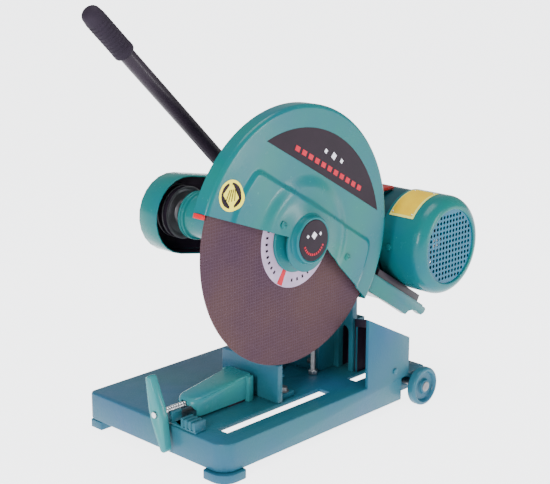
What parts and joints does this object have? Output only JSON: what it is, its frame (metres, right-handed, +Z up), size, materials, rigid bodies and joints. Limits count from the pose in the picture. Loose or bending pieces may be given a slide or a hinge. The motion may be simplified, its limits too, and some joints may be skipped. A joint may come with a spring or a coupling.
{
  "type": "abrasive chop saw",
  "caption": "Belt driven abrasive chop saw: wheeled base with vise, tilting head with guarded cutting wheel, rear motor and long handle.",
  "frame": {"origin": "on the floor, under the centre of the whole machine's outline", "axes": "+Z up, -Y towards the operator, +X towards the side with the cutting wheel"},
  "size_m": [0.361, 0.7016, 0.6907],
  "materials": {
    "teal_enamel": "glossy turquoise enamel, slightly orange-peel",
    "base_enamel": "bluer teal enamel, a little duller",
    "dark_enamel": "dark teal enamel in shade",
    "black_paint": "satin black paint",
    "abrasive": "resin bonded abrasive with glass mesh, purple brown, matt",
    "steel": "turned bright steel",
    "dark_steel": "blackened steel",
    "rubber": "matt black rubber",
    "red_rubber": "red rubber",
    "plate": "plain yellow printed metal foil, no lettering",
    "red_lid": "red moulded plastic",
    "dark_plastic": "black plastic",
    "winding": "copper winding in a laminated core"
  },
  "bodies": {
    "base": {"base_frame": "base_enamel", "front_foot_near": "base_enamel", "front_foot_far": "base_enamel", "wheel_axle": "dark_steel", "pivot_bracket": "base_enamel", "bracket_bolt_near": "dark_steel", "bracket_bolt_far": "dark_steel", "pivot_shaft": "dark_steel", "pivot_nut": "dark_steel", "return_spring": "steel", "depth_stop_bolt": "steel", "jaw_pivot_bolt": "dark_steel", "vise_nut_block": "base_enamel"},
    "head": {"rocker_arm": "teal_enamel", "spindle_housing": "teal_enamel", "spindle_bearing_near": "steel", "spindle_bearing_far": "steel", "guard_shell": "teal_enamel", "guard_back_sheet": "teal_enamel", "hub_cap": "teal_enamel", "guard_screw_1": "steel", "guard_screw_2": "steel", "guard_end_pad": "red_rubber", "belt_cover": "teal_enamel", "cover_stud_1": "steel", "cover_stud_2": "steel", "v_belt_far": "rubber", "v_belt_near": "rubber", "motor_body": "dark_enamel", "motor_stator": "winding", "motor_shield_drive": "dark_enamel", "motor_shield_fan": "dark_enamel", "motor_fan_cowl": "teal_enamel", "motor_slide_plate": "black_paint", "motor_bolt_near": "dark_steel", "motor_bolt_far": "dark_steel", "motor_name_plate": "plate", "terminal_box": "dark_enamel", "terminal_box_lid": "red_lid", "cable_gland": "dark_plastic", "tension_bolt": "dark_steel", "handle_bar": "black_paint", "handle_grip": "rubber"},
    "spindle": {"spindle_shaft": "steel", "cutting_wheel": "abrasive", "outer_flange": "teal_enamel", "inner_flange": "steel", "spindle_nut": "steel", "spindle_pulley": "dark_steel"},
    "rotor": {"motor_rotor": "steel", "motor_fan": "dark_plastic", "motor_pulley": "dark_steel"},
    "switch": {"power_switch": "dark_plastic"},
    "near_wheel": {"rear_wheel_near": "base_enamel"},
    "far_wheel": {"rear_wheel_far": "base_enamel"},
    "fixed_jaw": {"fixed_jaw": "base_enamel", "jaw_slot_bolt": "dark_steel"},
    "moving_jaw": {"moving_jaw": "teal_enamel"},
    "vise_screw": {"vise_screw": "steel", "vise_lever": "teal_enamel"}
  },
  "joints": [
    {"name": "head_pivot", "type": "hinge", "parent": "base", "child": "head", "pos_m": [-0.019, 0.0918, 0.235], "axis": [1, 0, 0], "range_deg": [0, 26], "deforming": ["return_spring"]},
    {"name": "spindle_spin", "type": "hinge", "parent": "head", "child": "spindle", "pos_m": [0.1115, -0.0622, 0.3265], "axis": [1, 0, 0], "continuous": true},
    {"name": "motor_spin", "type": "hinge", "parent": "head", "child": "rotor", "pos_m": [0.003, 0.2658, 0.261], "axis": [1, 0, 0], "continuous": true},
    {"name": "switch_rocker", "type": "hinge", "parent": "head", "child": "switch", "pos_m": [-0.008, 0.2228, 0.3518], "axis": [1, 0, 0], "range_deg": [-12, 12]},
    {"name": "near_wheel_roll", "type": "hinge", "parent": "base", "child": "near_wheel", "pos_m": [0.158, 0.192, 0.0327], "axis": [1, 0, 0], "continuous": true},
    {"name": "far_wheel_roll", "type": "hinge", "parent": "base", "child": "far_wheel", "pos_m": [-0.1575, 0.192, 0.0327], "axis": [1, 0, 0], "continuous": true},
    {"name": "jaw_swivel", "type": "hinge", "parent": "base", "child": "fixed_jaw", "pos_m": [0.0815, -0.057, 0.0595], "axis": [0, 0, 1], "range_deg": [-45, 0]},
    {"name": "jaw_slide", "type": "slide", "parent": "base", "child": "moving_jaw", "axis": [0, 1, 0], "range_m": [-0.085, 0.005]},
    {"name": "screw_turn", "type": "hinge", "parent": "moving_jaw", "child": "vise_screw", "pos_m": [0.0305, -0.2602, 0.08], "axis": [0, 1, 0], "range_deg": [-6120, 360]}
  ],
  "couplings": [
    {"joint": "motor_spin", "follows": "spindle_spin", "ratio": 1.3015},
    {"joint": "jaw_slide", "follows": "screw_turn", "m_per_rad": 0.00079577}
  ]
}
